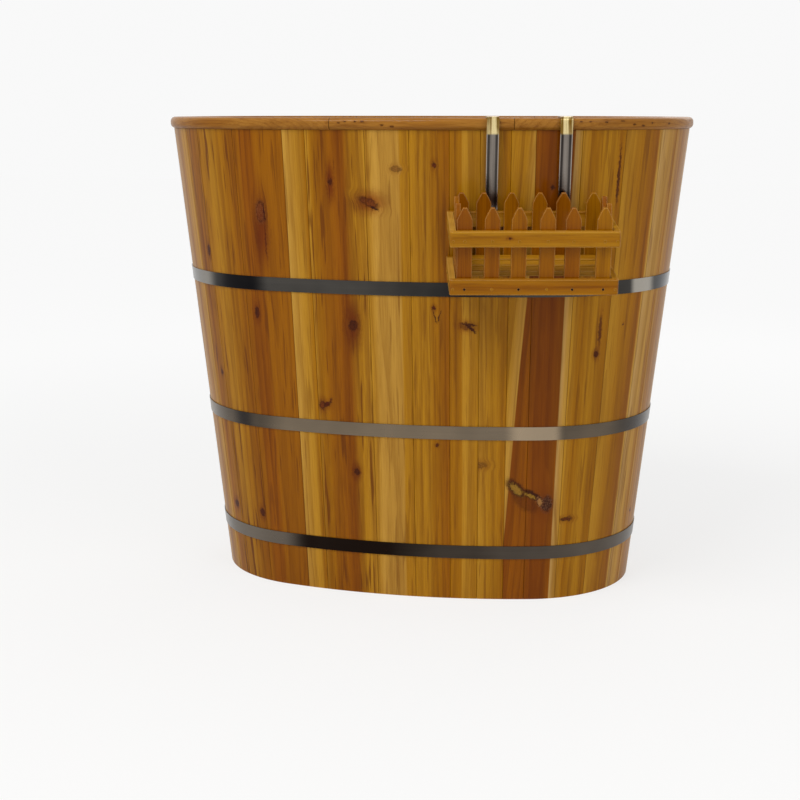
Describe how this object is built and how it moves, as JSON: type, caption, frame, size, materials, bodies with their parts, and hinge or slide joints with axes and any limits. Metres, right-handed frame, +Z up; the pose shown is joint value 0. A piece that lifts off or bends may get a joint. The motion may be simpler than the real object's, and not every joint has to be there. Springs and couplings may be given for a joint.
{
  "type": "wooden bathtub",
  "caption": "Tall oval coopered bathtub of varnished wooden staves held by steel hoops, with a rim cap, a drain with plug and a picket caddy hooked over the rim.",
  "frame": {"origin": "on the floor at the centre of the tub's oval, on the tub's upright axis", "axes": "+X along the tub's length to the right, -Y towards the side that the caddy hangs on, +Z up"},
  "size_m": [0.9627, 0.786, 0.8523],
  "materials": {
    "stave_wood": "glossy varnish",
    "rim_wood": "glossy varnish",
    "floor_wood": "satin varnish",
    "caddy_wood": "satin varnish",
    "hoop_steel": "bright rolled",
    "rivet_steel": "bright",
    "strap_steel": "bright rolled",
    "fixing_steel": "plain",
    "drain_chrome": "polished",
    "seal_rubber": "matt",
    "pipe_plastic": "smooth"
  },
  "bodies": {
    "tub": {"drain_flange": "drain_chrome", "drain_nut": "pipe_plastic", "drain_outlet": "pipe_plastic", "drain_seal": "seal_rubber", "floor_board_1": "floor_wood", "floor_board_2": "floor_wood", "floor_board_3": "floor_wood", "floor_board_4": "floor_wood", "floor_board_5": "floor_wood", "hoop_lower": "hoop_steel", "hoop_middle": "hoop_steel", "hoop_rivets": "rivet_steel", "hoop_upper": "hoop_steel", "rim_cap_1": "rim_wood", "rim_cap_2": "rim_wood", "rim_cap_3": "rim_wood", "rim_cap_4": "rim_wood", "rim_cap_5": "rim_wood", "rim_cap_6": "rim_wood", "stave_01": "stave_wood", "stave_02": "stave_wood", "stave_03": "stave_wood", "stave_04": "stave_wood", "stave_05": "stave_wood", "stave_06": "stave_wood", "stave_07": "stave_wood", "stave_08": "stave_wood", "stave_09": "stave_wood", "stave_10": "stave_wood", "stave_11": "stave_wood", "stave_12": "stave_wood", "stave_13": "stave_wood", "stave_14": "stave_wood", "stave_15": "stave_wood", "stave_16": "stave_wood", "stave_17": "stave_wood", "stave_18": "stave_wood", "stave_19": "stave_wood", "stave_20": "stave_wood", "stave_21": "stave_wood", "stave_22": "stave_wood", "stave_23": "stave_wood", "stave_24": "stave_wood", "stave_25": "stave_wood", "stave_26": "stave_wood", "stave_27": "stave_wood", "stave_28": "stave_wood", "stave_29": "stave_wood", "stave_30": "stave_wood"},
    "caddy": {"caddy_back_pickets": "caddy_wood", "caddy_floor": "caddy_wood", "caddy_front_pickets": "caddy_wood", "caddy_lower_rails": "caddy_wood", "caddy_nails": "fixing_steel", "caddy_side_pickets": "caddy_wood", "caddy_upper_rails": "caddy_wood", "strap_left": "strap_steel", "strap_right": "strap_steel", "strap_screws": "fixing_steel"},
    "plug": {"plug": "drain_chrome"}
  },
  "joints": [
    {"name": "caddy_lift", "type": "slide", "parent": "tub", "child": "caddy", "axis": [0.0294, -0.142, 0.9894], "range_m": [0, 0.06]},
    {"name": "plug_lift", "type": "slide", "parent": "tub", "child": "plug", "axis": [0, 0, 1], "range_m": [0, 0.05]}
  ]
}
